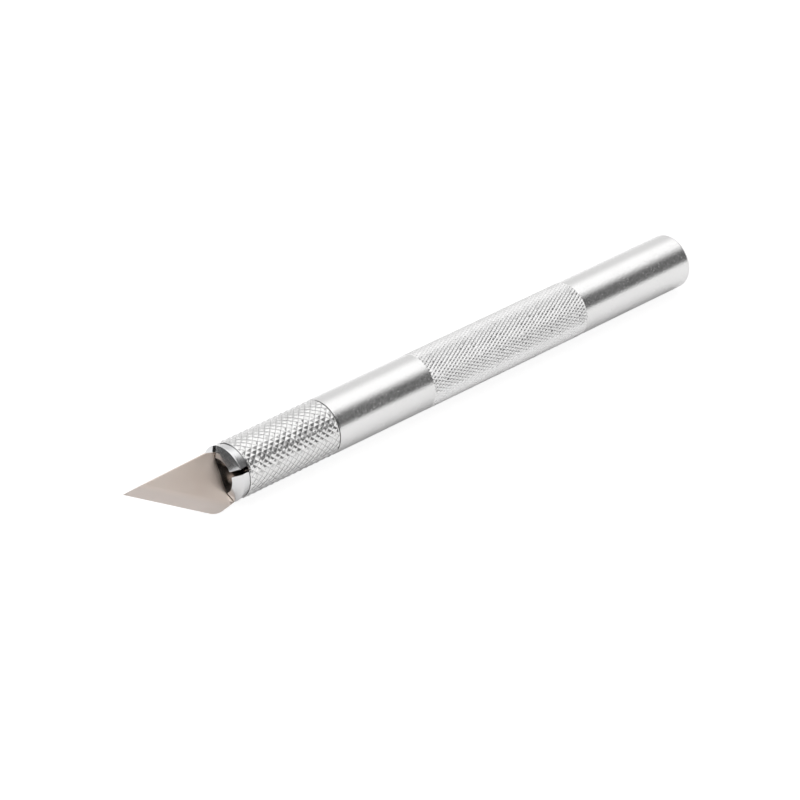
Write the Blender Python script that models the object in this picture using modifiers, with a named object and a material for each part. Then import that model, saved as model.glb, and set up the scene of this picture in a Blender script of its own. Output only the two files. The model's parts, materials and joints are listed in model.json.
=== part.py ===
"""Craft knife: a turned handle, a knurled collar, a four-jaw collet and a pointed blade.

The knife lies along X with its point towards -X and its blade rolled as it rests on a table.
Turning the collar turns the collet with it. The collet's thread then draws its cone out of the
collar's seat and frees the blade.
"""

import math

import bmesh
import bpy
from mathutils import Matrix, Vector

MM = 0.001

# Handle: a solid bar, turned, knurled in the middle and drilled for the collet's thread
BARREL_DIAMETER = 11.1 * MM
BARREL_LENGTH = 96.4 * MM
FRONT_PLAIN = 24.15 * MM          # smooth length between the collar and the grip band
GRIP_LENGTH = 41.8 * MM
GRIP_RISE = 0.05 * MM             # crests of the rolled grip band over the bar
GRIP_DEPTH = 0.12 * MM            # depth of its grooves
GRIP_PITCH = 1.9 * MM             # crest to crest along the band
GRIP_COUNT = 36                   # crests in one ring round the band
REAR_ROUND = 0.9 * MM             # radius of the rear edge
FRONT_CHAMFER = 0.2 * MM
THREAD_DIAMETER = 6.0 * MM
BORE_SPARE = 2.5 * MM             # drilled depth past the end of the collet's shank
DRILL_POINT_ANGLE = math.radians(118.0)

# Collar: a sleeve with a diamond knurl and a conical seat at its front
COLLAR_LENGTH = 22.1 * MM
COLLAR_WALL = 0.9 * MM            # from the bore to the roots of the knurl
COLLAR_RIM = 0.3 * MM             # plain land at each end
COLLAR_CHAMFER = 0.1 * MM
CREST_RISE = 0.03 * MM            # crests of the knurl over the bar
KNURL_DEPTH = 0.25 * MM
KNURL_PITCH = 1.42 * MM           # crest to crest along the collar
KNURL_COUNT = 24                  # crests in one ring round the collar

# Collet: flared head, split stem and threaded shank in one piece
HEAD_SETBACK = 0.05 * MM          # the head's widest edge inside the bar's radius
NOSE_LENGTH = 1.0 * MM            # from the mouth back to the widest edge
EDGE_LAND = 0.15 * MM
HEAD_EXPOSED = 1.75 * MM          # from the widest edge back to the collar
CONE_ANGLE = math.radians(22.0)
MOUTH_DIAMETER = 6.75 * MM
MOUTH_DEPTH = 4.0 * MM
JAW_BORE = 5.0 * MM
JAW_BORE_SPARE = 1.0 * MM         # bored depth past the end of the slots
SLOT_SPARE = 1.5 * MM             # slot length past the end of the tang
STEM_SETBACK = 2.3 * MM           # free thread between the stem and the handle
SHANK_ENGAGEMENT = 10.0 * MM      # threaded length inside the handle
SHANK_CHAMFER = 0.5 * MM
BLADE_ROLL = math.radians(64.0)   # from +Y to the blade's spine, about the knife's axis

# Blade: flat steel, wide head, narrower tang
BLADE_THICKNESS = 0.6 * MM
BLADE_REACH = 21.0 * MM           # point ahead of the collet's mouth
TIP_HEIGHT = 4.45 * MM
SPINE_HEIGHT = 4.9 * MM
SPINE_CORNER = 1.35 * MM          # rear end of the spine ahead of the mouth
HEEL_CORNER = 3.3 * MM            # where edge and shoulder would meet, ahead of the mouth
HEEL_DROP = 6.35 * MM
HEEL_RADIUS = 4.0 * MM
SPINE_SHOULDER = 4.0 * MM          # length of the slope from the spine down to the tang
HEEL_SHOULDER = 0.7 * MM          # where the heel's slope meets the cone, behind its widest edge
TANG_LENGTH = 16.0 * MM           # behind the mouth
TANG_INSET = 0.35 * MM            # tang edges inside the stem's outer surface
TANG_CHAMFER = 0.8 * MM
BEVEL_WIDTH = 2.2 * MM            # ground width along the cutting edge
EDGE_THICKNESS = 0.04 * MM

# Fits
CLEARANCE = 0.3 * MM              # between neighbouring turned faces
BLADE_CLEARANCE = 0.2 * MM        # between the blade and each slot wall

# Fineness of the round forms
SEGMENTS = 48
FILLET_STEPS = 6
CREASE_ANGLE = math.radians(20.0)
MERGE_DISTANCE = 0.00001

# Radii that follow from the bar
barrel_radius = BARREL_DIAMETER / 2
grip_crest = barrel_radius + GRIP_RISE
grip_root = grip_crest - GRIP_DEPTH
crest_radius = barrel_radius + CREST_RISE
root_radius = crest_radius - KNURL_DEPTH
rim_radius = crest_radius - KNURL_DEPTH / 2
collar_bore = root_radius - COLLAR_WALL
stem_radius = collar_bore - CLEARANCE
head_radius = barrel_radius - HEAD_SETBACK
shank_radius = THREAD_DIAMETER / 2
tang_half = stem_radius - TANG_INSET
slot_half = BLADE_THICKNESS / 2 + BLADE_CLEARANCE
axis_height = max(grip_crest, crest_radius)

# Stations along the knife, from the point to the rear end
head_length = NOSE_LENGTH + EDGE_LAND + HEAD_EXPOSED
overall_length = BLADE_REACH + head_length + COLLAR_LENGTH + CLEARANCE + BARREL_LENGTH
tip_x = -overall_length / 2
mouth_x = tip_x + BLADE_REACH
edge_x = mouth_x + NOSE_LENGTH
cone_x = edge_x + EDGE_LAND
collar_front = cone_x + HEAD_EXPOSED
collar_rear = collar_front + COLLAR_LENGTH
barrel_front = collar_rear + CLEARANCE
barrel_rear = barrel_front + BARREL_LENGTH
grip_front = barrel_front + FRONT_PLAIN
grip_rear = grip_front + GRIP_LENGTH
tang_end = mouth_x + TANG_LENGTH
slot_end = tang_end + SLOT_SPARE
stem_end = barrel_front - STEM_SETBACK
shank_end = barrel_front + SHANK_ENGAGEMENT


def cone_radius(x):
    """Radius of the collet's cone at a station behind its widest edge."""
    return head_radius - (x - cone_x) * math.tan(CONE_ANGLE)


def collection(name):
    group = bpy.data.collections.new(name)
    bpy.context.scene.collection.children.link(group)
    return group


def material(name, colour, roughness, metallic):
    finish = bpy.data.materials.new(name)
    finish.use_nodes = True
    shader = finish.node_tree.nodes["Principled BSDF"]
    shader.inputs["Base Color"].default_value = (*colour, 1.0)
    shader.inputs["Roughness"].default_value = roughness
    shader.inputs["Metallic"].default_value = metallic
    return finish


def turned(name, profile, segments, group, closed=False):
    """Spin a profile of (x, radius) points about the X axis."""
    points = [(x, 0.0, radius) for x, radius in profile]
    edges = [(i, i + 1) for i in range(len(points) - 1)]
    if closed:
        edges.append((len(points) - 1, 0))
    mesh = bpy.data.meshes.new(name)
    mesh.from_pydata(points, edges, [])
    piece = bpy.data.objects.new(name, mesh)
    group.objects.link(piece)
    screw = piece.modifiers.new("Turn", "SCREW")
    screw.axis = "X"
    screw.steps = segments
    screw.render_steps = segments
    screw.use_merge_vertices = True
    screw.merge_threshold = MERGE_DISTANCE
    return shaded(as_mesh(piece, group))


def shaded(piece):
    """Smooth the round faces and keep the corners crisp."""
    piece.data.shade_smooth()
    piece.data.set_sharp_from_angle(angle=CREASE_ANGLE)
    return piece


def extruded(name, outline, half_thickness, group):
    """Fill a flat outline of (x, y) points and thicken it both ways along Z."""
    curve = bpy.data.curves.new(name, "CURVE")
    curve.dimensions = "2D"
    curve.fill_mode = "BOTH"
    curve.extrude = half_thickness
    spline = curve.splines.new("POLY")
    spline.points.add(len(outline) - 1)
    for point, (x, y) in zip(spline.points, outline):
        point.co = (x, y, 0.0, 1.0)
    spline.use_cyclic_u = True
    flat = bpy.data.objects.new(name, curve)
    group.objects.link(flat)
    return as_mesh(flat, group)


def as_mesh(source, group):
    """Replace an object by its evaluated mesh, welded, under the same name."""
    name = source.name
    bpy.context.view_layer.update()
    evaluated = source.evaluated_get(bpy.context.evaluated_depsgraph_get())
    mesh = bpy.data.meshes.new_from_object(evaluated)
    shape = bmesh.new()
    shape.from_mesh(mesh)
    bmesh.ops.remove_doubles(shape, verts=shape.verts, dist=MERGE_DISTANCE)
    bmesh.ops.recalc_face_normals(shape, faces=shape.faces)
    shape.to_mesh(mesh)
    shape.free()
    matrix = source.matrix_world.copy()
    bpy.data.objects.remove(source)
    mesh.name = name
    piece = bpy.data.objects.new(name, mesh)
    piece.matrix_world = matrix
    group.objects.link(piece)
    return piece


def cut(piece, cutter, name):
    boolean = piece.modifiers.new(name, "BOOLEAN")
    boolean.operation = "DIFFERENCE"
    boolean.solver = "EXACT"
    boolean.object = cutter
    cutter.parent = piece
    cutter.hide_render = True
    cutter.display_type = "WIRE"


def arc(centre, radius, start, end):
    """Points of an arc in (x, y), end points included."""
    angles = [start + (end - start) * i / FILLET_STEPS for i in range(FILLET_STEPS + 1)]
    return [(centre[0] + radius * math.cos(a), centre[1] + radius * math.sin(a)) for a in angles]


def knurl_rows(front, rear, pitch):
    """Stations of a knurl's rings, half a pitch apart, with plain rings at both ends."""
    steps = 2 * round((rear - front) / pitch)
    return [front + (rear - front) * i / steps for i in range(steps + 1)]


def raise_knurl(mesh, rows, count, root, crest):
    """Lift every second grid point to a crest and crease each cell between its two roots."""
    shape = bmesh.new()
    shape.from_mesh(mesh)
    row_step = rows[1] - rows[0]
    column_step = math.pi / count
    crests = set()
    roots = set()
    for vert in shape.verts:
        on_roots = abs(math.hypot(vert.co.y, vert.co.z) - root) < (crest - root) / 4
        row = round((vert.co.x - rows[0]) / row_step)
        column = round(math.atan2(vert.co.z, vert.co.y) / column_step)
        if on_roots and 0 < row < len(rows) - 1:
            (roots if (row + column) % 2 else crests).add(vert)
    for face in list(shape.faces):
        pair = [vert for vert in face.verts if vert in roots]
        if len(pair) == 2:
            bmesh.utils.face_split(face, pair[0], pair[1])
    for vert in crests:
        vert.co.yz *= crest / root
    shape.to_mesh(mesh)
    shape.free()


def make_barrel(group):
    """Plain bar with a knurled grip band, a rounded rear end and a drilled front."""
    bore_radius = shank_radius + CLEARANCE
    bore_end = shank_end + BORE_SPARE
    drill_tip = bore_end + bore_radius / math.tan(DRILL_POINT_ANGLE / 2)
    rear_centre = (barrel_rear - REAR_ROUND, barrel_radius - REAR_ROUND)
    rows = knurl_rows(grip_front, grip_rear, GRIP_PITCH)
    profile = [
        (drill_tip, 0.0),
        (bore_end, bore_radius),
        (barrel_front + FRONT_CHAMFER, bore_radius),
        (barrel_front, bore_radius + FRONT_CHAMFER),
        (barrel_front, barrel_radius - FRONT_CHAMFER),
        (barrel_front + FRONT_CHAMFER, barrel_radius),
        (grip_front, barrel_radius),
        *[(x, grip_root) for x in rows[1:-1]],
        (grip_rear, barrel_radius),
        *arc(rear_centre, REAR_ROUND, math.pi / 2, 0.0),
        (barrel_rear, 0.0),
    ]
    barrel = turned("handle_barrel", profile, 2 * GRIP_COUNT, group)
    raise_knurl(barrel.data, rows, GRIP_COUNT, grip_root, grip_crest)
    return shaded(barrel)


def make_collar(group):
    """Sleeve whose outside is a diamond knurl and whose front is bored to the collet's cone."""
    seat_radius = cone_radius(collar_front) + CLEARANCE / math.cos(CONE_ANGLE)
    seat_end = collar_front + (seat_radius - collar_bore) / math.tan(CONE_ANGLE)
    knurl_front = collar_front + COLLAR_RIM + COLLAR_CHAMFER
    knurl_rear = collar_rear - COLLAR_RIM - COLLAR_CHAMFER
    rows = knurl_rows(knurl_front, knurl_rear, KNURL_PITCH)
    profile = [
        (collar_front, seat_radius),
        (collar_front, rim_radius - COLLAR_CHAMFER),
        (collar_front + COLLAR_CHAMFER, rim_radius),
        (knurl_front, rim_radius),
        *[(x, root_radius) for x in rows[1:-1]],
        (knurl_rear, rim_radius),
        (collar_rear - COLLAR_CHAMFER, rim_radius),
        (collar_rear, rim_radius - COLLAR_CHAMFER),
        (collar_rear, collar_bore),
        (seat_end, collar_bore),
    ]
    collar = turned("knurled_collar", profile, 2 * KNURL_COUNT, group, closed=True)
    raise_knurl(collar.data, rows, KNURL_COUNT, root_radius, crest_radius)
    return shaded(collar)


def make_collet(group, cutters):
    """Head with a conical nose, stem with four jaws, and the threaded shank."""
    bore_end = slot_end + JAW_BORE_SPARE
    cone_end = cone_x + (head_radius - stem_radius) / math.tan(CONE_ANGLE)
    profile = [
        (bore_end, 0.0),
        (bore_end, JAW_BORE / 2),
        (mouth_x + MOUTH_DEPTH, JAW_BORE / 2),
        (mouth_x + MOUTH_DEPTH, MOUTH_DIAMETER / 2),
        (mouth_x, MOUTH_DIAMETER / 2),
        (edge_x, head_radius),
        (cone_x, head_radius),
        (cone_end, stem_radius),
        (stem_end, stem_radius),
        (stem_end, shank_radius),
        (shank_end - SHANK_CHAMFER, shank_radius),
        (shank_end, shank_radius - SHANK_CHAMFER),
        (shank_end, 0.0),
    ]
    collet = turned("split_collet", profile, SEGMENTS, group)
    reach = head_radius + BLADE_CLEARANCE
    quarter = [(slot_half, slot_half), (slot_half, reach), (-slot_half, reach)]
    cross = [Matrix.Rotation(i * math.pi / 2, 2) @ Vector(p) for i in range(4) for p in quarter]
    front = mouth_x - CLEARANCE
    slots = extruded("collet_slots", [tuple(p) for p in cross], (slot_end - front) / 2, cutters)
    slots.rotation_euler.y = math.pi / 2
    slots.location.x = (slot_end + front) / 2
    cut(collet, slots, "Slots")
    return collet


def heel_arc(tip, corner, meet):
    """Round the corner between the cutting edge and the heel's slope."""
    edge_angle = math.atan2(corner[1] - tip[1], corner[0] - tip[0])
    slope_angle = math.atan2(meet[1] - corner[1], meet[0] - corner[0])
    tangent = HEEL_RADIUS * math.tan((slope_angle - edge_angle) / 2)
    start = (corner[0] - tangent * math.cos(edge_angle), corner[1] - tangent * math.sin(edge_angle))
    centre = (
        start[0] - HEEL_RADIUS * math.sin(edge_angle),
        start[1] + HEEL_RADIUS * math.cos(edge_angle),
    )
    return arc(centre, HEEL_RADIUS, edge_angle - math.pi / 2, slope_angle - math.pi / 2)


def make_blade(group, cutters):
    """Flat outline with a rounded heel, ground on both faces along the straight edge."""
    tip = (tip_x, TIP_HEIGHT)
    heel = (mouth_x - HEEL_CORNER, -HEEL_DROP)
    spine = (mouth_x - SPINE_CORNER, SPINE_HEIGHT)
    meet_x = cone_x + HEEL_SHOULDER
    meet = (meet_x, -cone_radius(meet_x))
    neck_x = cone_x + (head_radius - tang_half) / math.tan(CONE_ANGLE)
    outline = [
        tip,
        *heel_arc(tip, heel, meet),
        meet,
        (neck_x, -tang_half),
        (tang_end - TANG_CHAMFER, -tang_half),
        (tang_end, -tang_half + TANG_CHAMFER),
        (tang_end, tang_half - TANG_CHAMFER),
        (tang_end - TANG_CHAMFER, tang_half),
        (spine[0] + SPINE_SHOULDER, tang_half),
        spine,
    ]
    blade = extruded("blade", outline, BLADE_THICKNESS / 2, group)
    for side, name in ((1, "near"), (-1, "far")):
        cut(blade, grinding_plane(tip, heel, side, f"{name}_grind", cutters), f"{name} bevel")
    return blade


def grinding_plane(tip, heel, side, name, cutters):
    """Box whose lower face slopes from the cutting edge up to the blade's flat."""
    edge = Vector((heel[0] - tip[0], heel[1] - tip[1]))
    edge_angle = math.atan2(edge.y, edge.x)
    rise = (BLADE_THICKNESS - EDGE_THICKNESS) / 2
    slope = math.atan2(rise, BEVEL_WIDTH)
    depth = 4 * BLADE_THICKNESS
    bpy.ops.mesh.primitive_cube_add(size=1.0)
    box = bpy.context.object
    box.name = name
    for owner in list(box.users_collection):
        owner.objects.unlink(box)
    cutters.objects.link(box)
    middle = Vector((tip[0] + edge.x / 2, tip[1] + edge.y / 2, side * EDGE_THICKNESS / 2))
    size = Matrix.Diagonal((2 * edge.length, 4 * BEVEL_WIDTH, depth, 1.0))
    box.data.transform(Matrix.Translation((0.0, 0.0, side * depth / 2)) @ size)
    turn = Matrix.Rotation(edge_angle, 4, "Z") @ Matrix.Rotation(side * slope, 4, "X")
    box.matrix_world = Matrix.Translation(middle) @ turn
    return box


def main():
    for old in list(bpy.data.objects):
        bpy.data.objects.remove(old)
    knife = collection("craft_knife")
    cutters = collection("cutters")

    barrel = make_barrel(knife)
    collar = make_collar(knife)
    collet = make_collet(knife, cutters)
    blade = make_blade(knife, cutters)

    # Each piece rides on the one that carries it, with its origin on the turning axis
    axis = bpy.data.objects.new("turning_axis", None)
    axis.location.z = axis_height
    knife.objects.link(axis)
    barrel.parent = axis
    collar.parent = axis
    collet.parent = collar
    collet.rotation_euler.x = BLADE_ROLL
    blade.parent = collet

    barrel.data.materials.append(material("satin_aluminium", (0.78, 0.79, 0.80), 0.32, 1.0))
    collar.data.materials.append(material("knurled_aluminium", (0.84, 0.85, 0.86), 0.25, 1.0))
    collet.data.materials.append(material("plated_steel", (0.66, 0.67, 0.68), 0.18, 1.0))
    blade.data.materials.append(material("blade_steel", (0.49, 0.45, 0.41), 0.30, 1.0))


main()
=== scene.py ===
"""Looks of the craft knife: turned and knurled aluminium, a split steel collet and a pointed blade.

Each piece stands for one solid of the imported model, rides on its body and keeps its size and place.
"""

import json
import math
import random

import bmesh
import bpy
from mathutils import Matrix, Vector


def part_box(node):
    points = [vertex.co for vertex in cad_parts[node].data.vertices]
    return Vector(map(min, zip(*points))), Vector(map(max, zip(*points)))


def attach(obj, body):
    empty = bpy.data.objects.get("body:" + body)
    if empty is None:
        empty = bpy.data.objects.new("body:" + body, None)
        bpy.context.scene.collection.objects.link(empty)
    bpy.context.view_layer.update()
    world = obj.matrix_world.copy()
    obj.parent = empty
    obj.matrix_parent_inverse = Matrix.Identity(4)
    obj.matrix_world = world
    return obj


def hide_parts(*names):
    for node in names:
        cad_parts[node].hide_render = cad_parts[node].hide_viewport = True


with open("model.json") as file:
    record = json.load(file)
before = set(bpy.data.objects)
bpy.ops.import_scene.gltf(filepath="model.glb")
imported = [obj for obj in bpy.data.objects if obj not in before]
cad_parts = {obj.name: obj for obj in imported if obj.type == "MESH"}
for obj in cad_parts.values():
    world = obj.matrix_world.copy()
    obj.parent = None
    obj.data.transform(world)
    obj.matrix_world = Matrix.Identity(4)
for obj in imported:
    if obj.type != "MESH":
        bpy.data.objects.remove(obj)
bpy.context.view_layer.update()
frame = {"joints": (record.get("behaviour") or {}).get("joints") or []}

MM = 0.001

# Where the solids lie
barrel_low, barrel_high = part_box("handle_barrel")
collar_low, collar_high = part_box("knurled_collar")
collet_low, collet_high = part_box("split_collet")
blade_low, blade_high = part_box("blade")
turning = next(joint for joint in frame["joints"] if joint["name"] == "collar_turn")
axis_height = turning["pos_m"][2]

# Handle
BAR_RADIUS = 5.55 * MM
FRONT_PLAIN = 24.15 * MM
GRIP_LENGTH = 41.8 * MM
GRIP_CREST = 5.6 * MM
GRIP_DEPTH = 0.11 * MM
GRIP_STEP = 0.06 * MM             # run-out at the ends of the knurl
GRIP_PITCH = 1.45 * MM            # long diagonal of one diamond, along the handle
GRIP_COUNT = 48                   # diamonds in one ring
GRIP_LEVELS = ((0.45, 0.64, 0.88), (0.35, 0.55, 1.0))   # see knurl
REAR_ROUND = 0.9 * MM
FRONT_CHAMFER = 0.2 * MM
BORE_SPARE = 2.5 * MM             # bored depth beyond the shank
DRILL_POINT = math.radians(118.0)

# Collar
COLLAR_CREST = 5.58 * MM
COLLAR_DEPTH = 0.22 * MM
COLLAR_PITCH = 1.42 * MM
COLLAR_COUNT = 24
COLLAR_LEVELS = ((0.88, 0.88, 0.46), (0.1, 0.1, 1.0))   # see knurl
COLLAR_CHAMFER = 0.25 * MM
COLLAR_BORE = 4.43 * MM
SEAT_GAP = 0.07 * MM              # between the collet's cone and its seat
SEAM_GAP = 0.15 * MM              # between the collar and the handle

# Wear of both knurls, as shares of a crest's height
KNURL_WEAR = 0.25                 # most that a crest is worn down
KNURL_LEAN = 0.2                  # most that a corner of a crest is worn down beyond the rest

# Collet
HEAD_RADIUS = 5.5 * MM
NOSE_LENGTH = 1.0 * MM
EDGE_LAND = 0.15 * MM
EDGE_ROUND = 0.05 * MM
NOSE_ROUND = 0.16 * MM            # between the nose and the cone
CONE_ANGLE = math.radians(11.0)
STEM_RADIUS = 4.13 * MM
MOUTH_RADIUS = 3.375 * MM
MOUTH_DEPTH = 4.0 * MM
MOUTH_LIP = 0.08 * MM
JAW_BORE = 2.5 * MM
SLOT_HALF = 0.5 * MM
SLOT_BEVEL = 0.09 * MM            # broken edge along the slots
SLOT_REAR = 17.5 * MM             # slot length behind the mouth
BORE_REAR = 18.5 * MM             # bored depth behind the mouth
STEM_REAR = 23.0 * MM             # stem length behind the mouth
JAW_SINK = 4 * EDGE_ROUND         # reach of the jaws' narrowed ends, before the stem and into it
RIDGE_PITCH = 0.19 * MM           # tool marks on the nose
RIDGE_HEIGHT = 0.004 * MM
BLADE_ROLL = math.radians(64.0)   # from +Y to the blade's spine

# Thread between collet and handle
THREAD_PITCH = 0.9 * MM
THREAD_MINOR = 2.45 * MM
THREAD_DEPTH = 0.5 * MM
THREAD_GAP = 0.2 * MM
THREAD_FLAT = 0.15                # share of the pitch that is flat on the root, and on the crest
SHANK_CHAMFER = 0.5 * MM
THREAD_STEPS = 8                  # rings in one pitch

# Blade
BLADE_THICKNESS = 0.6 * MM
TIP_HEIGHT = 4.45 * MM
SPINE_HEIGHT = 4.9 * MM
SPINE_CORNER = 1.35 * MM
HEEL_CORNER = 3.3 * MM
HEEL_DROP = 6.35 * MM
HEEL_RADIUS = 4.0 * MM
SPINE_SHOULDER = 4.0 * MM
HEEL_SHOULDER = 0.7 * MM
TANG_HALF = 3.78 * MM
TANG_CHAMFER = 0.8 * MM
BEVEL_WIDTH = 2.2 * MM
BEVEL_BLUR = 0.9 * MM
BEVEL_SOFT = 0.35 * MM            # half the width over which the ground strip blends into the flat
BEVEL_GUARD = 0.25 * MM           # beside that blend, where the shading settles
EDGE_THICKNESS = 0.04 * MM
BLADE_SOFTENING = 0.05 * MM
POLISH_FADE = 0.8 * MM            # along the blade, from its dull body to its polished tang

# Finishes: patterns in cells a metre, colours, and how the blade's polished tang differs
RING_SCALE = 5500.0
GRAIN_SCALE = 2200.0
SMUDGE_SCALE = 140.0
NICK_SCALE = 330.0
NICK_CHOICE = 0.62                # cells with a value above this have a nick
NICK_EDGE = (0.03, 0.09)          # from a nick's floor to its rim, as shares of a cell
BLADE_LINE_SCALE = 5200.0
BLADE_LINE_STRETCH = 0.06         # of the grain's scale along the blade
BLADE_LINE_DEPTH = 0.0004 * MM
BLADE_STAIN_SCALE = 120.0
BLADE_ROUGHNESS = (0.44, 0.5)
BLADE_BROWN = (0.8, 0.69, 0.615)
BLADE_PALE = (0.815, 0.72, 0.655)
BLADE_GROUND = (0.69, 0.62, 0.58)
POLISH_TONE = 1.25
POLISH_ROUGHNESS = -0.3

# Floor, first as other rays meet it and then as the camera sees it
FLOOR_HALF = 3.0
FLOOR_COLOUR = (0.92, 0.18)
FLOOR_GLOW = (0.06, 0.9)

# Softbox and flag
SOFTBOX_LENGTH = 1.9
SOFTBOX_WIDTH = 0.6
SOFTBOX_PLACE = (0.0, 0.15, 0.7)
SOFTBOX_POWER = 1.2
FLAG_HEIGHT = 0.09
FLAG_WIDTH = 0.8
FLAG_PLACE = (-0.2, 0.0, FLAG_HEIGHT / 2)
FLAG_COLOUR = (0.09, 0.09, 0.09, 1.0)

# Light of the room, by a direction's X and by its swing about X, from +Y over the top
CEILING_SWING = (math.radians(38), math.radians(74))
CEILING_GLOW = (0.87, 1.32)
PANEL_TOP = (math.radians(97), math.radians(137))
PANEL_FOOT = (math.radians(164), math.radians(190))
PANEL_LEFT = (0.0, 0.14)
PANEL_RIGHT = (0.3, 0.45)
PANEL_END = (0.86, 0.97)
PANEL_RISE_X = (0.74, 0.84)
PANEL_RISE = math.radians(40)
PANEL_GLOW = 0.11
WINDOW_END = (-0.8, -0.65)
WINDOW_TOP = (math.radians(42), math.radians(54))
WINDOW_GLOW = 2.2

# Camera
CAMERA_AZIMUTH = math.radians(-44.245)
CAMERA_ELEVATION = math.radians(29.583)
CAMERA_DISTANCE = 662.57 * MM
CAMERA_AIM = Vector((-5.5, -0.7, 3.875)) * MM
FOCAL_LENGTH = 158.175
SENSOR_WIDTH = 36.0
CLIP_NEAR = 0.01
CLIP_FAR = 20.0

# Fineness
COLUMNS = 96
JAW_STEPS = 30
ARC_STEPS = 14
SOFTENING_STEPS = 2
CUT_MERGE = 0.001 * MM            # points this near a cut lie on it
SEAM_TURN = 1e-5                  # hair by which a ring's first point may lie before +Y
INSET_LIMIT = 0.5                 # least cosine of half a corner's turn that an inset follows
CREASE = math.radians(24.0)
BLADE_CREASE = math.radians(4.0)

# Stations along the knife
tip_x = blade_low.x
tang_end = blade_high.x
mouth_x = collet_low.x
shank_end = collet_high.x
edge_x = mouth_x + NOSE_LENGTH
cone_x = edge_x + EDGE_LAND
collar_front = collar_low.x
collar_rear = collar_high.x
barrel_front = collar_rear + SEAM_GAP
barrel_rear = barrel_high.x
grip_front = barrel_low.x + FRONT_PLAIN
grip_rear = grip_front + GRIP_LENGTH
slot_end = mouth_x + SLOT_REAR
stem_end = mouth_x + STEM_REAR


def on_axis(x, radius, angle):
    """A point at a station, a radius and an angle from +Y towards +Z."""
    return Vector((x, radius * math.cos(angle), axis_height + radius * math.sin(angle)))


def cone_radius(x):
    """Radius of the collet's cone behind its widest edge."""
    return HEAD_RADIUS - (x - cone_x) * math.tan(CONE_ANGLE)


def arc(centre, radius, start, end):
    """Points of an arc in the plane, end points included."""
    angles = [start + (end - start) * i / ARC_STEPS for i in range(ARC_STEPS + 1)]
    return [(centre[0] + radius * math.cos(a), centre[1] + radius * math.sin(a)) for a in angles]


def fillet(before, corner, after, radius):
    """Points of an arc that rounds the corner between two straight lines in the plane."""
    corner = Vector(corner)
    back = (Vector(before) - corner).normalized()
    ahead = (Vector(after) - corner).normalized()
    half = math.acos(back.dot(ahead)) / 2
    centre = corner + (back + ahead).normalized() * radius / math.sin(half)
    start = corner + back * radius / math.tan(half) - centre
    end = corner + ahead * radius / math.tan(half) - centre
    first = math.atan2(start.y, start.x)
    sweep = math.atan2(start.x * end.y - start.y * end.x, start.dot(end))
    return arc(centre, radius, first, first + sweep)


def new_shape():
    """An empty mesh whose points carry their height in a knurl, 0 in a groove and 1 on a crest; the
    collet's bore is set to 0 as well, to take the groove colour as painted shade.
    """
    shape = bmesh.new()
    shape.verts.layers.float.new("crest")
    return shape


def point(shape, place, crest=1.0):
    """A new point of a shape at its height in a knurl."""
    vert = shape.verts.new(place)
    vert[shape.verts.layers.float["crest"]] = crest
    return vert


def ring(shape, x, radius):
    """A ring of points round the axis, or one point where the radius is zero."""
    if radius == 0.0:
        return [point(shape, on_axis(x, 0.0, 0.0))]
    return [point(shape, on_axis(x, radius, math.tau * i / COLUMNS)) for i in range(COLUMNS)]


def bridge(shape, first, second):
    """Join two rings with quads, or a ring to a single point with triangles."""
    count = max(len(first), len(second))
    for i in range(count):
        j = (i + 1) % count
        corners = [
            first[i % len(first)],
            first[j % len(first)],
            second[j % len(second)],
            second[i % len(second)],
        ]
        shape.faces.new(list(dict.fromkeys(corners)))


def bridge_all(shape, rings):
    """Join each ring to the next."""
    for first, second in zip(rings, rings[1:]):
        bridge(shape, first, second)


def lathe(shape, profile):
    """Turn a profile of (x, radius) points and return its rings."""
    rings = [ring(shape, x, radius) for x, radius in profile]
    bridge_all(shape, rings)
    return rings


def thread_rings(shape, front, rear, radius_at):
    """Rings of a threaded surface; radius_at gives the radius for a station and an angle."""
    count = round((rear - front) / THREAD_PITCH * THREAD_STEPS)
    angles = [math.tau * j / COLUMNS for j in range(COLUMNS)]
    rings = []
    for i in range(count + 1):
        x = front + (rear - front) * i / count
        rings.append([point(shape, on_axis(x, radius_at(x, a), a)) for a in angles])
    return rings


def thread_height(x, angle):
    """Height of a right-hand thread over its root, with flats on root and crest."""
    phase = (x / THREAD_PITCH - angle / math.tau) % 1.0
    rise = 1.0 - abs(2.0 * phase - 1.0)
    flank = (rise - THREAD_FLAT) / (1.0 - 2.0 * THREAD_FLAT)
    return THREAD_DEPTH * min(1.0, max(0.0, flank))


def zip_rings(shape, first, second):
    """Join two rings with unlike numbers of points by triangles, matched by their angles."""
    def angle(vert):
        # The seam lies a hair before +Y, so that a point on +Y comes first and not last
        return (math.atan2(vert.co.z - axis_height, vert.co.y) + SEAM_TURN) % math.tau

    loops = []
    for loop in (first, second):
        ordered = sorted(loop, key=angle)
        loops.append([(angle(v), v) for v in ordered] + [(angle(ordered[0]) + math.tau, ordered[0])])
    here = [0, 0]
    while any(i + 1 < len(loop) for i, loop in zip(here, loops)):
        ahead = [loop[i + 1][0] if i + 1 < len(loop) else math.inf for i, loop in zip(here, loops)]
        moved = ahead.index(min(ahead))
        corners = [loops[0][here[0]][1], loops[1][here[1]][1]]
        here[moved] += 1
        shape.faces.new((*corners, loops[moved][here[moved]][1]))


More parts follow.
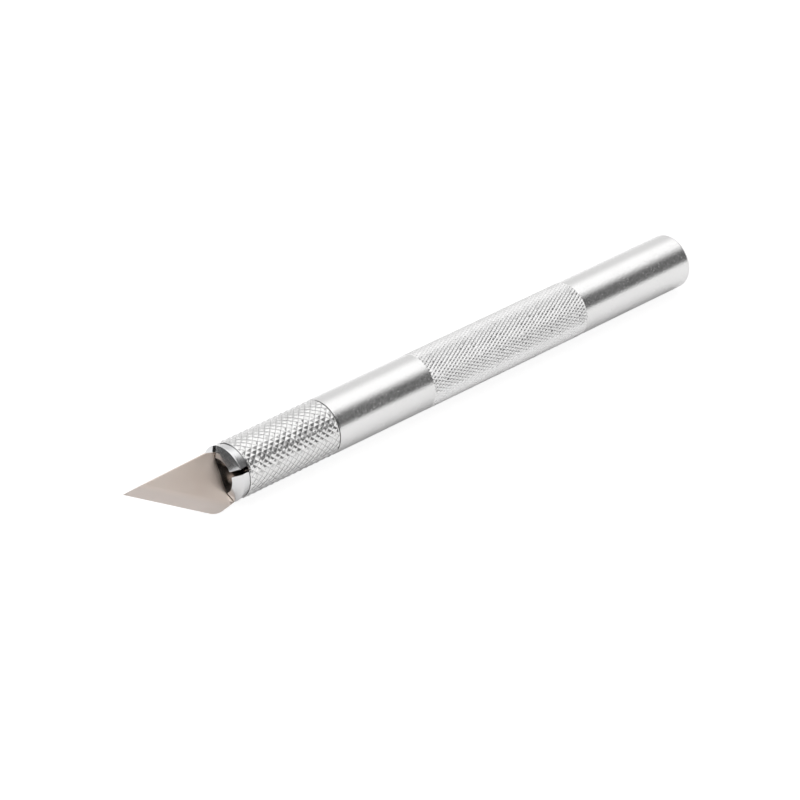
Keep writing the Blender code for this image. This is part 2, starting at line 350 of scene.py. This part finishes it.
def knurl(shape, front, rear, count, pitch, crest, root, levels):
    """Fill an empty shape with a band of staggered blunt pyramids; returns the rings at its cut ends.

    Each level holds the widths left between the steep and the shallow grooves and the height
    reached there, as shares of a whole pyramid.
    """
    rows = 2 * math.ceil((rear - front) / pitch) + 2
    columns = 2 * count
    middle = (front + rear) / 2

    def place(row, column, radius):
        x = middle + (row - rows / 2) * pitch / 2
        return on_axis(x, radius, math.tau * column / columns)

    uneven = random.Random(count)
    roots = {}
    for row in range(-1, rows + 2):
        for column in range((row + 1) % 2, columns, 2):
            roots[row, column] = point(shape, place(row, column, root), 0.0)

    sides = ((-1, -1), (1, -1), (1, 1), (-1, 1))
    for row in range(rows + 1):
        for column in range(row % 2, columns, 2):
            lower = [roots[row + (i + j) // 2, (column + (i - j) // 2) % columns] for i, j in sides]
            worn = uneven.uniform(1.0 - KNURL_WEAR, 1.0)
            lean = [uneven.uniform(-KNURL_LEAN, KNURL_LEAN) / 2 for _ in range(2)]
            for steep, shallow, height in levels:
                upper = []
                for i, j in sides:
                    left = worn - max(0.0, lean[0] * i + lean[1] * j)
                    radius = root + (crest - root) * height * left
                    step = (steep * i + shallow * j) / 2
                    turn = (steep * i - shallow * j) / 2
                    upper.append(point(shape, place(row + step, column + turn, radius), height))
                bridge(shape, lower, upper)
                lower = upper
            shape.faces.new(lower)

    ends = []
    for x, outwards in ((front, -1.0), (rear, 1.0)):
        cut = bmesh.ops.bisect_plane(
            shape,
            geom=[*shape.verts, *shape.edges, *shape.faces],
            dist=CUT_MERGE,
            plane_co=(x, 0.0, 0.0),
            plane_no=(outwards, 0.0, 0.0),
            clear_outer=True,
        )
        ends.append([item for item in cut["geom_cut"] if isinstance(item, bmesh.types.BMVert)])
    return ends


def finished(shape, name, crease=CREASE):
    """Turn a shape into an object with its faces out, smooth but crisp at its corners."""
    bmesh.ops.recalc_face_normals(shape, faces=shape.faces)
    mesh = bpy.data.meshes.new(name)
    shape.to_mesh(mesh)
    shape.free()
    mesh.shade_smooth()
    mesh.set_sharp_from_angle(angle=crease)
    piece = bpy.data.objects.new(name, mesh)
    bpy.context.scene.collection.objects.link(piece)
    return piece


def dress(piece, finish, body, node):
    """Give a piece its material and its body, and hide the solid that it stands for."""
    piece.data.materials.clear()
    piece.data.materials.append(finish)
    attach(piece, body)
    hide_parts(node)


def make_handle():
    """Drilled and threaded bar with a fine diamond knurl in the middle and a rounded rear end."""
    shape = new_shape()
    root = GRIP_CREST - GRIP_DEPTH
    band = knurl(shape, grip_front, grip_rear, GRIP_COUNT, GRIP_PITCH, GRIP_CREST, root, GRIP_LEVELS)
    bore = THREAD_MINOR + THREAD_GAP
    bore_end = shank_end + BORE_SPARE
    drill_tip = bore_end + bore / math.tan(DRILL_POINT / 2)
    thread_end = bore_end - THREAD_PITCH
    mouth = bore + THREAD_DEPTH

    def radius_at(x, angle):
        fade = min(1.0, (thread_end - x) / THREAD_PITCH)
        countersink = mouth - (x - barrel_front)
        return max(bore + fade * thread_height(x, angle), countersink)

    inside = lathe(shape, [(drill_tip, 0.0), (bore_end, bore)])
    thread = thread_rings(shape, barrel_front, thread_end, radius_at)
    bridge_all(shape, [inside[-1], *reversed(thread)])
    front = lathe(shape, [
        (barrel_front, BAR_RADIUS - FRONT_CHAMFER),
        (barrel_front + FRONT_CHAMFER, BAR_RADIUS),
        (grip_front - 2 * GRIP_STEP, BAR_RADIUS),
        (grip_front - GRIP_STEP, BAR_RADIUS),
    ])
    bridge(shape, thread[0], front[0])
    rear_centre = (barrel_rear - REAR_ROUND, BAR_RADIUS - REAR_ROUND)
    rear = lathe(shape, [
        (grip_rear + GRIP_STEP, BAR_RADIUS),
        (grip_rear + 2 * GRIP_STEP, BAR_RADIUS),
        *arc(rear_centre, REAR_ROUND, math.pi / 2, 0.0),
        (barrel_rear, 0.0),
    ])
    zip_rings(shape, front[-1], band[0])
    zip_rings(shape, rear[0], band[1])
    return finished(shape, "handle")


def make_collar():
    """Sleeve with a coarse diamond knurl between two chamfers and a conical seat in its mouth."""
    shape = new_shape()
    knurl_front = collar_front + COLLAR_CHAMFER
    knurl_rear = collar_rear - COLLAR_CHAMFER
    root = COLLAR_CREST - COLLAR_DEPTH
    band = knurl(
        shape, knurl_front, knurl_rear, COLLAR_COUNT, COLLAR_PITCH, COLLAR_CREST, root, COLLAR_LEVELS
    )
    seat_radius = cone_radius(collar_front) + SEAT_GAP
    seat_end = collar_front + (seat_radius - COLLAR_BORE) / math.tan(CONE_ANGLE)
    front = lathe(shape, [
        (collar_front, seat_radius),
        (collar_front, COLLAR_CREST - COLLAR_CHAMFER),
    ])
    rear = lathe(shape, [
        (collar_rear, COLLAR_CREST - COLLAR_CHAMFER),
        (collar_rear, COLLAR_BORE + COLLAR_CHAMFER),
        (collar_rear - COLLAR_CHAMFER, COLLAR_BORE),
        (seat_end, COLLAR_BORE),
    ])
    bridge(shape, rear[-1], front[0])
    zip_rings(shape, front[-1], band[0])
    zip_rings(shape, rear[0], band[1])
    return finished(shape, "collar")


def ridged(start, end, pitch, height):
    """Points from start to end with a shallow tool mark at every pitch."""
    line = Vector(end) - Vector(start)
    normal = Vector((-line.y, line.x)).normalized()
    count = 2 * round(line.length / pitch)
    points = [Vector(start) + line * i / count + normal * height * (i % 2) for i in range(count + 1)]
    return [tuple(p) for p in points]


def inset(loop, distance):
    """A closed loop of (x, radius) points moved inwards, kept clear of very sharp corners."""
    moved = []
    for i, here in enumerate(loop):
        before = (Vector(here) - Vector(loop[i - 1])).normalized()
        after = (Vector(loop[(i + 1) % len(loop)]) - Vector(here)).normalized()
        inwards = Vector((before.y + after.y, -before.x - after.x)).normalized()
        share = max(INSET_LIMIT, inwards.dot(Vector((after.y, -after.x))))
        moved.append(tuple(Vector(here) + inwards * distance / share))
    return moved


def jaw_profile():
    """Half section of a jaw: nose, widest edge, cone and stem outside, stepped bore inside."""
    cone_end = cone_x + (HEAD_RADIUS - STEM_RADIUS) / math.tan(CONE_ANGLE)
    sunk_front = slot_end - JAW_SINK
    sunk_rear = slot_end + JAW_SINK
    step_x = mouth_x + MOUTH_DEPTH
    nose = (mouth_x, MOUTH_RADIUS + MOUTH_LIP)
    edge = (edge_x, cone_radius(edge_x))
    rounded = fillet(nose, edge, (cone_end, STEM_RADIUS), NOSE_ROUND)
    return [
        (mouth_x + MOUTH_LIP, MOUTH_RADIUS),
        *ridged(nose, rounded[0], RIDGE_PITCH, RIDGE_HEIGHT),
        *rounded[1:],
        (cone_end, STEM_RADIUS),
        (sunk_front, STEM_RADIUS),
        (sunk_front + EDGE_ROUND, STEM_RADIUS - EDGE_ROUND),
        (sunk_rear, STEM_RADIUS - EDGE_ROUND),
        (sunk_rear, JAW_BORE + EDGE_ROUND),
        (sunk_front + EDGE_ROUND, JAW_BORE + EDGE_ROUND),
        (sunk_front, JAW_BORE),
        (step_x, JAW_BORE),
        (step_x, MOUTH_RADIUS),
    ]


def make_jaw(shape, turn):
    """One quarter of the split head, with flat slot walls and broken edges along them."""
    profile = jaw_profile()
    walls = inset(profile, SLOT_BEVEL)

    def section(loop, share, distance):
        """The loop at a share of the way between two planes that lie off the slots' middles."""
        verts = []
        for x, radius in loop:
            margin = math.asin(distance / radius)
            angle = turn + margin + (math.pi / 2 - 2 * margin) * share
            # The bore is marked as a groove so that it takes the groove colour: near black, painted shade
            # for the inside of the mouth
            crest = 1.0 if radius > MOUTH_RADIUS else 0.0
            verts.append(point(shape, on_axis(x, radius, angle), crest))
        return verts

    rings = [section(walls, 0.0, SLOT_HALF)]
    for i in range(JAW_STEPS + 1):
        rings.append(section(profile, i / JAW_STEPS, SLOT_HALF + SLOT_BEVEL))
    rings.append(section(walls, 1.0, SLOT_HALF))
    bridge_all(shape, rings)
    shape.faces.new(rings[0])
    shape.faces.new(rings[-1])


def make_collet():
    """Four jaws on a stem, with a threaded shank behind."""
    jaws = new_shape()
    for quarter in range(4):
        make_jaw(jaws, BLADE_ROLL + quarter * math.pi / 2)
    jaws = finished(jaws, "collet_jaws")

    def radius_at(x, angle):
        start = min(1.0, (x - stem_end) / THREAD_PITCH)
        chamfer = THREAD_MINOR + THREAD_DEPTH - SHANK_CHAMFER + shank_end - x
        return min(THREAD_MINOR + start * thread_height(x, angle), chamfer)

    shape = new_shape()
    front = lathe(shape, [
        (mouth_x + BORE_REAR, 0.0),
        (mouth_x + BORE_REAR, JAW_BORE),
        (slot_end, JAW_BORE),
        (slot_end, STEM_RADIUS),
        (stem_end - EDGE_ROUND, STEM_RADIUS),
        (stem_end, STEM_RADIUS - EDGE_ROUND),
    ])
    thread = thread_rings(shape, stem_end, shank_end, radius_at)
    bridge_all(shape, [front[-1], *thread, ring(shape, shank_end, 0.0)])
    stem = finished(shape, "collet")

    union = stem.modifiers.new("Jaws", "BOOLEAN")
    union.operation = "UNION"
    union.solver = "EXACT"
    union.object = jaws
    bpy.context.view_layer.update()
    evaluated = stem.evaluated_get(bpy.context.evaluated_depsgraph_get())
    whole = bpy.data.meshes.new_from_object(evaluated)
    stem.modifiers.clear()
    stem.data = whole
    whole.shade_smooth()
    whole.set_sharp_from_angle(angle=CREASE)
    bpy.data.objects.remove(jaws)
    return stem


def blade_outline():
    """Outline of the blade as (x, height) points, its tip, and the direction across its cutting edge."""
    tip = Vector((tip_x, TIP_HEIGHT))
    heel = Vector((mouth_x - HEEL_CORNER, -HEEL_DROP))
    spine = (mouth_x - SPINE_CORNER, SPINE_HEIGHT)
    meet_x = cone_x + HEEL_SHOULDER
    meet = Vector((meet_x, -cone_radius(meet_x)))
    neck_x = cone_x + (HEAD_RADIUS - TANG_HALF) / math.tan(CONE_ANGLE)
    outline = [
        tuple(tip),
        *fillet(tip, heel, meet, HEEL_RADIUS),
        tuple(meet),
        (neck_x, -TANG_HALF),
        (tang_end - TANG_CHAMFER, -TANG_HALF),
        (tang_end, -TANG_HALF + TANG_CHAMFER),
        (tang_end, TANG_HALF - TANG_CHAMFER),
        (tang_end - TANG_CHAMFER, TANG_HALF),
        (spine[0] + SPINE_SHOULDER, TANG_HALF),
        spine,
    ]
    along = (heel - tip).normalized()
    return outline, tip, Vector((-along.y, along.x))


def make_blade():
    """Flat blade ground on both faces along its straight edge, with softened outer edges."""
    outline, tip, across = blade_outline()
    half = BLADE_THICKNESS / 2
    slope = (half - EDGE_THICKNESS / 2) / BEVEL_WIDTH
    shape = new_shape()
    faces = [[point(shape, (x, y, z)) for x, y in outline] for z in (-half, half)]
    bridge(shape, faces[0], faces[1])
    for face in faces:
        shape.faces.new(face)
    bmesh.ops.recalc_face_normals(shape, faces=shape.faces)
    guard = BEVEL_SOFT + BEVEL_GUARD
    for offset in (-guard, -BEVEL_SOFT, BEVEL_SOFT, guard):
        bmesh.ops.bisect_plane(
            shape,
            geom=[*shape.verts, *shape.edges, *shape.faces],
            dist=CUT_MERGE,
            plane_co=(*(tip + across * (BEVEL_WIDTH + offset)), 0.0),
            plane_no=(*across, 0.0),
        )
    for vert in shape.verts:
        distance = (vert.co.xy - tip).dot(across)
        if distance < BEVEL_WIDTH:
            vert.co.z = math.copysign(EDGE_THICKNESS / 2 + slope * max(0.0, distance), vert.co.z)
    near = EDGE_THICKNESS / 4
    sharp = math.pi / 4
    softened = [
        edge for edge in shape.edges
        if all(abs(abs(vert.co.z) - half) < near for vert in edge.verts)
        and edge.calc_face_angle(0.0) > sharp
        and edge.verts[0].co.z * edge.verts[1].co.z > 0.0
    ]
    bmesh.ops.bevel(
        shape,
        geom=softened,
        offset=BLADE_SOFTENING,
        segments=SOFTENING_STEPS,
        profile=0.5,
        affect="EDGES",
    )
    place = Matrix.Translation((0.0, 0.0, axis_height)) @ Matrix.Rotation(BLADE_ROLL, 4, "X")
    bmesh.ops.transform(shape, matrix=place, verts=shape.verts)
    return finished(shape, "craft_blade", BLADE_CREASE)


def add(tree, kind, inputs=None, **settings):
    """Add a node, set its properties, and set or link its inputs."""
    made = tree.nodes.new(kind)
    for name, value in settings.items():
        setattr(made, name, value)
    for key, value in (inputs or {}).items():
        if isinstance(value, bpy.types.NodeSocket):
            tree.links.new(value, made.inputs[key])
        else:
            made.inputs[key].default_value = value
    return made


def math_node(tree, operation, first, second=0.0):
    """The result of one sum, product or the like."""
    return add(tree, "ShaderNodeMath", {0: first, 1: second}, operation=operation).outputs[0]


def remap(tree, value, low, high, new_low, new_high, smooth=False):
    """Map a value from one range to another, held at its ends."""
    kind = "SMOOTHSTEP" if smooth else "LINEAR"
    limits = {"From Min": low, "From Max": high, "To Min": new_low, "To Max": new_high}
    inputs = {"Value": value, **limits}
    return add(tree, "ShaderNodeMapRange", inputs, interpolation_type=kind).outputs["Result"]


def noise(tree, vector, scale, detail, roughness):
    """Cloudy noise between 0 and 1."""
    inputs = {"Vector": vector, "Scale": scale, "Detail": detail, "Roughness": roughness}
    return add(tree, "ShaderNodeTexNoise", inputs).outputs["Fac"]


def mix_colour(tree, share, first, second):
    """A mix of two colours, the second one by the share."""
    made = add(tree, "ShaderNodeMix", {"Factor": share}, data_type="RGBA")
    for name, value in (("A", first), ("B", second)):
        socket = next(s for s in made.inputs if s.name == name and s.type == "RGBA")
        if isinstance(value, bpy.types.NodeSocket):
            tree.links.new(value, socket)
        else:
            socket.default_value = (*value, 1.0)
    return next(s for s in made.outputs if s.type == "RGBA")


def metal(name, anisotropy=0.0):
    """A bare metal material: its tree, its shader and its coordinates."""
    finish = bpy.data.materials.new(name)
    finish.use_nodes = True
    tree = finish.node_tree
    shader = tree.nodes["Principled BSDF"]
    shader.inputs["Metallic"].default_value = 1.0
    shader.inputs["Anisotropic"].default_value = anisotropy
    coordinates = add(tree, "ShaderNodeTexCoord").outputs["Object"]
    return finish, tree, shader, coordinates


def turned_metal(name, colour, groove_and_painted_shade_colour, roughness, line_depth, grain_depth, nick_depth):
    """Turned metal: rings from the tool, a slight grain, small nicks and grooves of another colour, which
    on the collet is near black and paints its bore with shade.
    """
    finish, tree, shader, coordinates = metal(name, anisotropy=0.4)
    shader.inputs["Anisotropic Rotation"].default_value = 0.25
    tangent = add(tree, "ShaderNodeTangent", direction_type="RADIAL", axis="X").outputs["Tangent"]
    tree.links.new(tangent, shader.inputs["Tangent"])

    # Rings follow the station plus the radius, so they run round the bar and across its ends alike
    centred = add(
        tree, "ShaderNodeVectorMath", {0: coordinates, 1: (0.0, 0.0, axis_height)}, operation="SUBTRACT"
    ).outputs[0]
    flat = add(
        tree, "ShaderNodeVectorMath", {0: centred, 1: (0.0, 1.0, 1.0)}, operation="MULTIPLY"
    ).outputs[0]
    radius = add(tree, "ShaderNodeVectorMath", {0: flat}, operation="LENGTH").outputs["Value"]
    station = add(tree, "ShaderNodeSeparateXYZ", {0: coordinates}).outputs["X"]
    path = math_node(tree, "ADD", station, radius)
    rings = add(
        tree,
        "ShaderNodeTexNoise",
        {"W": path, "Scale": RING_SCALE, "Detail": 3.0, "Roughness": 0.6},
        noise_dimensions="1D",
    ).outputs["Fac"]

    grain = noise(tree, coordinates, GRAIN_SCALE, detail=3.0, roughness=0.6)
    cells = add(tree, "ShaderNodeTexVoronoi", {"Vector": coordinates, "Scale": NICK_SCALE})
    kept = math_node(tree, "GREATER_THAN", cells.outputs["Color"], NICK_CHOICE)
    pit = remap(tree, cells.outputs["Distance"], *NICK_EDGE, -1.0, 0.0, smooth=True)
    nick = math_node(tree, "MULTIPLY", pit, kept)
    height = math_node(tree, "MULTIPLY", rings, line_depth)
    height = math_node(tree, "ADD", height, math_node(tree, "MULTIPLY", grain, grain_depth))
    height = math_node(tree, "ADD", height, math_node(tree, "MULTIPLY", nick, nick_depth))
    bump = add(tree, "ShaderNodeBump", {"Strength": 1.0, "Distance": 1.0, "Height": height})
    tree.links.new(bump.outputs["Normal"], shader.inputs["Normal"])

    crest = add(tree, "ShaderNodeAttribute", attribute_name="crest").outputs["Fac"]
    smudge = noise(tree, coordinates, SMUDGE_SCALE, detail=4.0, roughness=0.55)
    tone = remap(tree, smudge, 0.3, 0.7, 0.96, 1.0)
    # Grooves take their own colour; on the collet the bore is marked as a groove and so is painted near
    # black as shade
    shade = mix_colour(tree, remap(tree, crest, 0.0, 0.4, 0.0, 1.0), groove_and_painted_shade_colour, colour)
    toned = add(tree, "ShaderNodeVectorMath", {0: shade, 3: tone}, operation="SCALE").outputs[0]
    tree.links.new(toned, shader.inputs["Base Color"])
    worn = remap(tree, grain, 0.32, 0.68, roughness * 1.38, roughness * 0.68)
    rough = math_node(tree, "ADD", worn, remap(tree, crest, 0.0, 1.0, 0.05, 0.0))
    tree.links.new(rough, shader.inputs["Roughness"])
    return finish


def blade_steel():
    """Ground carbon steel: warm grey, a fine lengthwise grain, soft stains and a polished tang."""
    finish, tree, shader, coordinates = metal("blade_steel")
    stretch = (BLADE_LINE_STRETCH, 1.0, 1.0)
    stretched = add(
        tree, "ShaderNodeVectorMath", {0: coordinates, 1: stretch}, operation="MULTIPLY"
    ).outputs[0]
    lines = noise(tree, stretched, BLADE_LINE_SCALE, detail=3.0, roughness=0.6)
    stain = noise(tree, coordinates, BLADE_STAIN_SCALE, detail=3.0, roughness=0.5)
    flat = mix_colour(tree, remap(tree, stain, 0.32, 0.68, 0.0, 1.0), BLADE_BROWN, BLADE_PALE)

    # The ground strip along the edge is greyer, and the clamped tang is polished
    _, tip, across = blade_outline()
    roll = Matrix.Rotation(BLADE_ROLL, 3, "X")
    corner = roll @ Vector((*tip, 0.0)) + Vector((0.0, 0.0, axis_height))
    from_tip = add(
        tree, "ShaderNodeVectorMath", {0: coordinates, 1: corner}, operation="SUBTRACT"
    ).outputs[0]
    inwards = roll @ Vector((*across, 0.0))
    depth = add(
        tree, "ShaderNodeVectorMath", {0: from_tip, 1: inwards}, operation="DOT_PRODUCT"
    ).outputs["Value"]
    ground = remap(tree, depth, BEVEL_WIDTH - BEVEL_BLUR, BEVEL_WIDTH + BEVEL_BLUR, 1.0, 0.0, smooth=True)
    shade = mix_colour(tree, ground, flat, BLADE_GROUND)
    station = add(tree, "ShaderNodeSeparateXYZ", {0: coordinates}).outputs["X"]
    polish_start = mouth_x - POLISH_FADE / 2
    polish_end = mouth_x + POLISH_FADE / 2
    polish = remap(tree, station, polish_start, polish_end, 0.0, 1.0, smooth=True)
    tone = remap(tree, polish, 0.0, 1.0, 1.0, POLISH_TONE)
    toned = add(tree, "ShaderNodeVectorMath", {0: shade, 3: tone}, operation="SCALE").outputs[0]
    tree.links.new(toned, shader.inputs["Base Color"])
    worn = remap(tree, stain, 0.3, 0.7, *BLADE_ROUGHNESS)
    smoother = math_node(tree, "MULTIPLY", polish, POLISH_ROUGHNESS)
    tree.links.new(math_node(tree, "ADD", worn, smoother), shader.inputs["Roughness"])
    height = math_node(tree, "MULTIPLY", lines, BLADE_LINE_DEPTH)
    bump = add(tree, "ShaderNodeBump", {"Strength": 1.0, "Distance": 1.0, "Height": height})
    tree.links.new(bump.outputs["Normal"], shader.inputs["Normal"])
    return finish


def make_floor():
    """Pale paper that glows by itself, so that only a faint shadow shows."""
    shape = bmesh.new()
    bmesh.ops.create_grid(shape, x_segments=4, y_segments=4, size=FLOOR_HALF)
    mesh = bpy.data.meshes.new("floor")
    shape.to_mesh(mesh)
    shape.free()
    floor = bpy.data.objects.new("floor", mesh)
    bpy.context.scene.collection.objects.link(floor)
    finish = bpy.data.materials.new("pale_floor")
    finish.use_nodes = True
    tree = finish.node_tree
    shader = tree.nodes["Principled BSDF"]
    shader.inputs["Roughness"].default_value = 0.9
    shader.inputs["Specular IOR Level"].default_value = 0.1
    shader.inputs["Emission Color"].default_value = (1.0, 1.0, 1.0, 1.0)
    seen = add(tree, "ShaderNodeLightPath").outputs["Is Camera Ray"]
    tree.links.new(remap(tree, seen, 0.0, 1.0, *FLOOR_COLOUR), shader.inputs["Base Color"])
    tree.links.new(remap(tree, seen, 0.0, 1.0, *FLOOR_GLOW), shader.inputs["Emission Strength"])
    mesh.materials.append(finish)


def make_softbox():
    """Soft light overhead that shows only by what it lights."""
    light = bpy.data.lights.new("softbox", "AREA")
    light.shape = "RECTANGLE"
    light.size = SOFTBOX_LENGTH
    light.size_y = SOFTBOX_WIDTH
    light.energy = SOFTBOX_POWER
    softbox = bpy.data.objects.new("softbox", light)
    softbox.location = SOFTBOX_PLACE
    softbox.visible_camera = False
    softbox.visible_glossy = False
    bpy.context.scene.collection.objects.link(softbox)


def make_flag():
    """Dark flag that stands across the knife at its left and shows only in reflections."""
    shape = bmesh.new()
    bmesh.ops.create_grid(shape, x_segments=1, y_segments=1, size=0.5)
    mesh = bpy.data.meshes.new("flag")
    size = Matrix.Diagonal((FLAG_HEIGHT, FLAG_WIDTH, 1.0, 1.0))
    upright = Matrix.Rotation(math.pi / 2, 4, "Y")
    bmesh.ops.transform(shape, matrix=Matrix.Translation(FLAG_PLACE) @ upright @ size, verts=shape.verts)
    shape.to_mesh(mesh)
    shape.free()
    flag = bpy.data.objects.new("flag", mesh)
    flag.visible_camera = False
    flag.visible_diffuse = False
    flag.visible_shadow = False
    bpy.context.scene.collection.objects.link(flag)
    cloth = bpy.data.materials.new("dark_flag")
    cloth.use_nodes = True
    shader = cloth.node_tree.nodes["Principled BSDF"]
    shader.inputs["Base Color"].default_value = FLAG_COLOUR
    shader.inputs["Roughness"].default_value = 0.9
    mesh.materials.append(cloth)


def make_room():
    """Pale room with a bright ceiling, a dark panel behind the camera and a bright window at the left."""
    world = bpy.data.worlds.new("studio")
    bpy.context.scene.world = world
    world.use_nodes = True
    tree = world.node_tree
    direction = add(tree, "ShaderNodeTexCoord").outputs["Generated"]
    parts = add(tree, "ShaderNodeSeparateXYZ", {0: direction}).outputs
    station = parts["X"]
    swing = math_node(tree, "ARCTAN2", parts["Z"], parts["Y"])

    # The panel reaches higher towards +X, and has a bright gap between its left and right parts
    rise = remap(tree, station, *PANEL_RISE_X, 0.0, PANEL_RISE, smooth=True)
    top = remap(tree, math_node(tree, "ADD", swing, rise), *PANEL_TOP, 0.0, 1.0, smooth=True)
    foot = remap(tree, swing, *PANEL_FOOT, 1.0, 0.0, smooth=True)
    left = remap(tree, station, *PANEL_LEFT, 1.0, 0.0, smooth=True)
    right = remap(tree, station, *PANEL_RIGHT, 0.0, 1.0, smooth=True)
    end = remap(tree, station, *PANEL_END, 1.0, 0.0, smooth=True)
    across = math_node(tree, "MULTIPLY", top, foot)
    along = math_node(tree, "MULTIPLY", math_node(tree, "ADD", left, right), end)
    panel = math_node(tree, "MULTIPLY", across, along)
    ceiling = remap(tree, swing, *CEILING_SWING, *CEILING_GLOW, smooth=True)
    glow = math_node(tree, "MULTIPLY", ceiling, remap(tree, panel, 0.0, 1.0, 1.0, PANEL_GLOW))

    window_end = remap(tree, station, *WINDOW_END, 1.0, 0.0, smooth=True)
    window_top = remap(tree, swing, *WINDOW_TOP, 1.0, 0.0, smooth=True)
    window = math_node(tree, "MULTIPLY", window_end, window_top)
    glow = math_node(tree, "MULTIPLY", glow, remap(tree, window, 0.0, 1.0, 1.0, WINDOW_GLOW))
    background = tree.nodes["Background"]
    background.inputs["Color"].default_value = (1.0, 1.0, 1.0, 1.0)
    tree.links.new(glow, background.inputs["Strength"])


def make_camera():
    """Camera at the photograph's angle, distance and framing."""
    back = Vector((
        math.sin(CAMERA_AZIMUTH) * math.cos(CAMERA_ELEVATION),
        -math.cos(CAMERA_AZIMUTH) * math.cos(CAMERA_ELEVATION),
        math.sin(CAMERA_ELEVATION),
    ))
    lens = bpy.data.cameras.new("camera")
    lens.lens = FOCAL_LENGTH
    lens.sensor_width = SENSOR_WIDTH
    lens.clip_start = CLIP_NEAR
    lens.clip_end = CLIP_FAR
    camera = bpy.data.objects.new("camera", lens)
    camera.location = CAMERA_AIM + back * CAMERA_DISTANCE
    camera.rotation_euler = (-back).to_track_quat("-Z", "Y").to_euler()
    bpy.context.scene.collection.objects.link(camera)
    bpy.context.scene.camera = camera


bar_finish = turned_metal(
    "turned_aluminium",
    colour=(0.785, 0.78, 0.778),
    groove_and_painted_shade_colour=(0.86, 0.86, 0.865),
    roughness=0.2,
    line_depth=0.003 * MM,
    grain_depth=0.02 * MM,
    nick_depth=0.006 * MM,
)
collar_finish = turned_metal(
    "knurled_aluminium",
    colour=(0.765, 0.761, 0.759),
    groove_and_painted_shade_colour=(0.77, 0.767, 0.765),
    roughness=0.14,
    line_depth=0.001 * MM,
    grain_depth=0.004 * MM,
    nick_depth=0.006 * MM,
)
collet_finish = turned_metal(
    "plated_steel",
    colour=(0.74, 0.74, 0.745),
    # Near black: painted shade on the collet's bore, which is marked as a groove
    groove_and_painted_shade_colour=(0.03, 0.03, 0.03),
    roughness=0.16,
    line_depth=0.004 * MM,
    grain_depth=0.0016 * MM,
    nick_depth=0.003 * MM,
)

dress(make_handle(), bar_finish, "handle", "handle_barrel")
dress(make_collar(), collar_finish, "collar", "knurled_collar")
dress(make_collet(), collet_finish, "collet", "split_collet")
dress(make_blade(), blade_steel(), "blade", "blade")

make_floor()
make_softbox()
make_flag()
make_room()
make_camera()
bpy.context.scene.view_settings.view_transform = "Standard"
